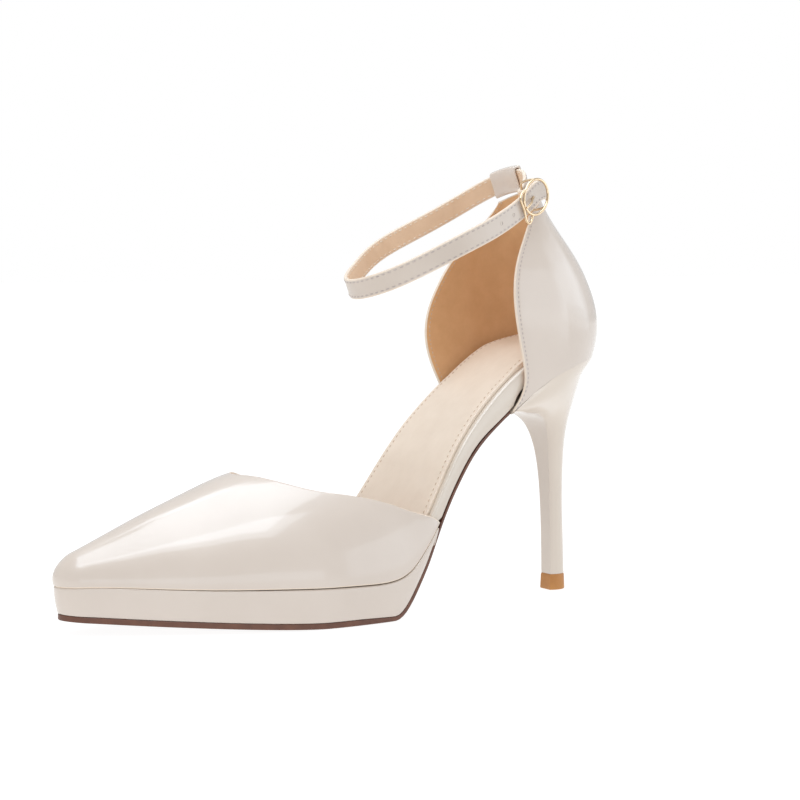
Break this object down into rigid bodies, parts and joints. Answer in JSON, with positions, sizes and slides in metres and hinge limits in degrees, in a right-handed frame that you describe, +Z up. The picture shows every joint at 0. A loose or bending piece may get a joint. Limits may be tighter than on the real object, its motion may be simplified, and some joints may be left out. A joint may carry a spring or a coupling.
{
  "type": "high heel",
  "caption": "Left pointed platform pump with open sides, a slim high heel and an ankle strap that fastens with an oval ring buckle.",
  "frame": {"origin": "on the floor, under the middle of the shoe's bounding box", "axes": "+X from the toe to the back of the heel, +Y towards the inner side of the foot, +Z up"},
  "size_m": [0.2218, 0.0724, 0.1654],
  "materials": {
    "patent_upper": "gloss",
    "patent_platform": "gloss",
    "patent_heel": "gloss",
    "patent_strap": "gloss",
    "rand_leather": "satin",
    "sock_leather": "matte",
    "outsole_brown": "satin",
    "lift_tan": "matte",
    "buckle_gold": "polished"
  },
  "bodies": {
    "root": {"vamp": "patent_upper", "counter": "patent_upper", "platform": "patent_platform", "insole_board": "rand_leather", "sock_lining": "sock_leather", "outsole": "outsole_brown", "heel": "patent_heel", "top_lift": "lift_tan", "ankle_strap": "patent_strap", "strap_tunnel": "patent_strap", "buckle_frame": "buckle_gold", "buckle_prong": "buckle_gold"}
  },
  "joints": []
}
